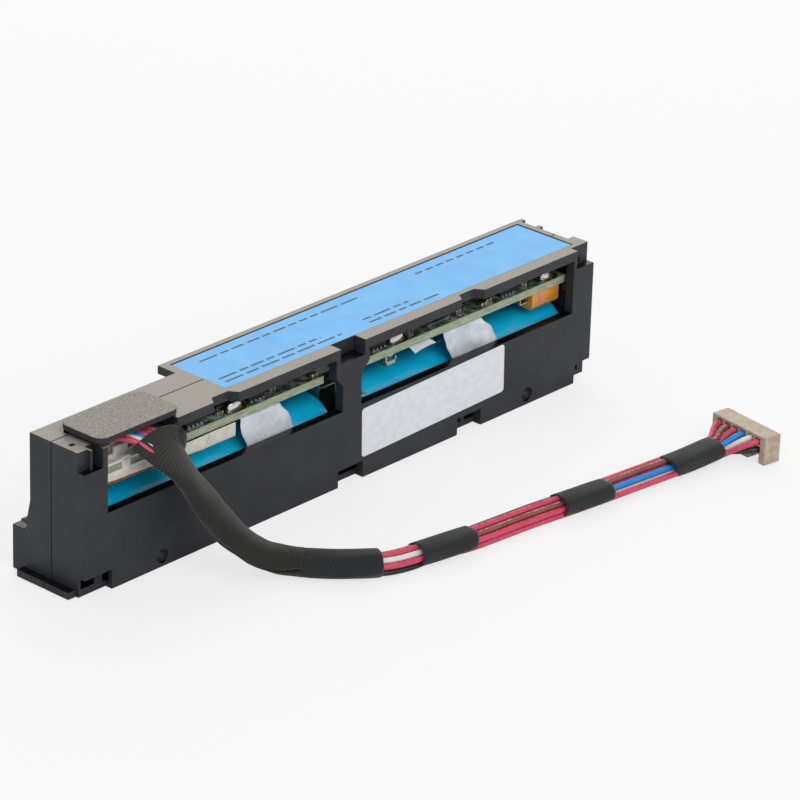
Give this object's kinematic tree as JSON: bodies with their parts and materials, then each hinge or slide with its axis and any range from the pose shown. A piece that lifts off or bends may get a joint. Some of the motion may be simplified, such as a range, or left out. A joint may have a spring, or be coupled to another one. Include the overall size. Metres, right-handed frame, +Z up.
{
  "type": "raid battery module",
  "caption": "Slim backup battery module for a storage controller: moulded two-part case with front windows, cells and circuit board, and a short wire harness.",
  "frame": {"origin": "middle of the case's foot, on the surface that it stands on", "axes": "+X along the case to its right end, +Y from the front wall to the back, +Z up"},
  "size_m": [0.1476, 0.073, 0.0321],
  "materials": {
    "case_plastic": "fine spark-eroded texture",
    "lid_plastic": "coarse texture",
    "cell_can": "nickel plated",
    "cell_sleeve": "shrunk film",
    "nickel": "satin",
    "insulating_card": "card",
    "board_laminate": "lacquered",
    "white_nylon": "moulded",
    "beige_nylon": "moulded",
    "chip_epoxy": "moulded",
    "chip_ceramic": "fired",
    "shunt_alloy": "satin",
    "solder": "bright",
    "amber_tape": "film",
    "clear_tape": "film",
    "blue_label": "printed film",
    "white_label": "printed paper film",
    "sleeve_cloth": "woven",
    "cloth_tape": "woven",
    "wire_insulation": "extruded",
    "contact_metal": "plated"
  },
  "bodies": {
    "root": {"front_shell": "case_plastic", "back_shell": "case_plastic", "cable_lid": "lid_plastic", "left_cell": "cell_can", "right_cell": "cell_can", "left_cell_sleeve": "cell_sleeve", "right_cell_sleeve": "cell_sleeve", "end_insulators": "insulating_card", "left_end_tab": "nickel", "series_tab": "nickel", "right_end_tab": "nickel", "circuit_board": "board_laminate", "board_header": "white_nylon", "harness_plug": "beige_nylon", "gauge_chip": "chip_epoxy", "power_transistors": "chip_epoxy", "sense_resistor": "shunt_alloy", "chip_capacitors": "chip_ceramic", "chip_resistors": "chip_epoxy", "solder_lugs": "solder", "contact_clip": "nickel", "thermal_cutoff": "amber_tape", "cutoff_leads": "nickel", "insulator_strip": "insulating_card", "edge_tape": "amber_tape", "left_tape": "clear_tape", "right_tape": "clear_tape", "top_label": "blue_label", "side_label": "white_label", "cable_sleeve": "sleeve_cloth", "sleeve_wrap": "cloth_tape", "tape_band_1": "cloth_tape", "tape_band_2": "cloth_tape", "tape_band_3": "cloth_tape", "wire_bundle": "wire_insulation", "wire_fan": "wire_insulation", "cable_connector": "beige_nylon", "connector_contacts": "contact_metal"}
  },
  "joints": []
}
